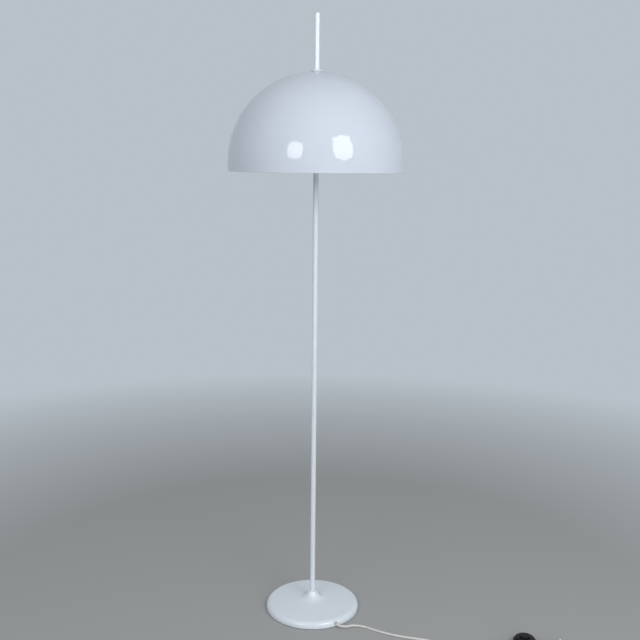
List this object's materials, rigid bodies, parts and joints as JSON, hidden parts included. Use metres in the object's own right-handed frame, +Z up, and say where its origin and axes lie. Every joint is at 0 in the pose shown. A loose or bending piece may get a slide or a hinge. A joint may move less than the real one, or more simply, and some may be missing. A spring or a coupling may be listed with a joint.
{
  "type": "mushroom floor lamp",
  "caption": "Floor lamp with a round weighted foot, a slim stem that runs through a domed opal shade, and a hub that slides and swivels on the stem.",
  "frame": {"origin": "on the floor, centred under the round foot, at the underside of its felt", "axes": "+Z up along the stem; -Y is the front, seen by the viewer; +X to the viewer's right"},
  "size_m": [0.8234, 0.4727, 1.41],
  "materials": {
    "white_lacquer": "semi-gloss white stove enamel on steel",
    "cast_iron": "rough black-painted casting",
    "felt": "dark pressed felt",
    "zinc_steel": "zinc-plated steel",
    "turned_aluminium": "turned and lacquered",
    "white_nylon": "satin nylon",
    "seat_rubber": "pale silicone rubber",
    "ivory_cord": "satin ivory PVC sheath",
    "ivory_plastic": "moulded ivory PVC",
    "black_gloss": "polished black phenolic moulding",
    "black_rubber": "black rubber",
    "core_plastic": "moulded contact block",
    "switch_trim": "satin black trim ring",
    "opal_acrylic": "polished opal white acrylic",
    "knob_steel": "nickel-plated, knurled",
    "holder_bakelite": "white phenolic moulding",
    "ceramic": "glazed porcelain",
    "lamp_brass": "plain rolled lamp cap",
    "bulb_glass": "frosted white bulb glass",
    "pin_brass": "nickel-plated brass pins"
  },
  "bodies": {
    "stand": {"felt_pad": "felt", "base_weight": "cast_iron", "base_shell": "white_lacquer", "neck_spacer": "zinc_steel", "stem_nipple": "zinc_steel", "nut_washer": "zinc_steel", "stem_nut": "zinc_steel", "cord_grommet": "white_nylon", "cord_stop": "white_nylon", "cord_stop_screws": "zinc_steel", "stem_tube": "white_lacquer", "stem_cap": "white_lacquer", "lead_bush": "white_nylon", "inner_cord": "ivory_cord", "lead_lower": "ivory_cord", "floor_cord": "ivory_cord", "switch_tray": "black_gloss", "switch_cover": "black_gloss", "switch_feet": "black_rubber", "switch_core": "core_plastic", "switch_ring": "switch_trim", "switch_relief_in": "black_gloss", "switch_relief_out": "black_gloss", "plug_cord": "ivory_cord", "cord_coil": "ivory_cord", "plug_lead": "ivory_cord", "plug_relief": "ivory_plastic", "plug_body": "ivory_plastic", "plug_pins": "pin_brass"},
    "guide_bushes": {"upper_bush": "white_nylon", "lower_bush": "white_nylon"},
    "shade_head": {"shade": "opal_acrylic", "seat_washer": "seat_rubber", "crown_washer": "white_nylon", "crown_nut": "white_lacquer", "hub": "turned_aluminium", "lead_upper": "ivory_cord", "holder_nipple_left": "zinc_steel", "holder_cap_left": "holder_bakelite", "holder_shell_left": "holder_bakelite", "holder_core_left": "ceramic", "bulb_base_left": "lamp_brass", "bulb_glass_left": "bulb_glass", "holder_nipple_right": "zinc_steel", "holder_cap_right": "holder_bakelite", "holder_shell_right": "holder_bakelite", "holder_core_right": "ceramic", "bulb_base_right": "lamp_brass", "bulb_glass_right": "bulb_glass"},
    "thumbscrew": {"thumbscrew": "knob_steel"},
    "foot_button": {"switch_button": "black_gloss"}
  },
  "joints": [
    {"name": "shade_height", "type": "slide", "parent": "stand", "child": "guide_bushes", "axis": [0, 0, 1], "range_m": [-0.04, 0.1], "deforming": ["lead_lower"]},
    {"name": "shade_swivel", "type": "hinge", "parent": "guide_bushes", "child": "shade_head", "pos_m": [0, 0, 1.25], "axis": [0, 0, 1], "range_deg": [-60, 60], "deforming": ["lead_upper"]},
    {"name": "thumbscrew_turn", "type": "hinge", "parent": "shade_head", "child": "thumbscrew", "pos_m": [0, -0.02, 1.23607], "axis": [0, -1, 0], "continuous": true},
    {"name": "foot_press", "type": "slide", "parent": "stand", "child": "foot_button", "axis": [0, 0, -1], "range_m": [0, 0.003], "stiffness_N_per_m": 900}
  ]
}
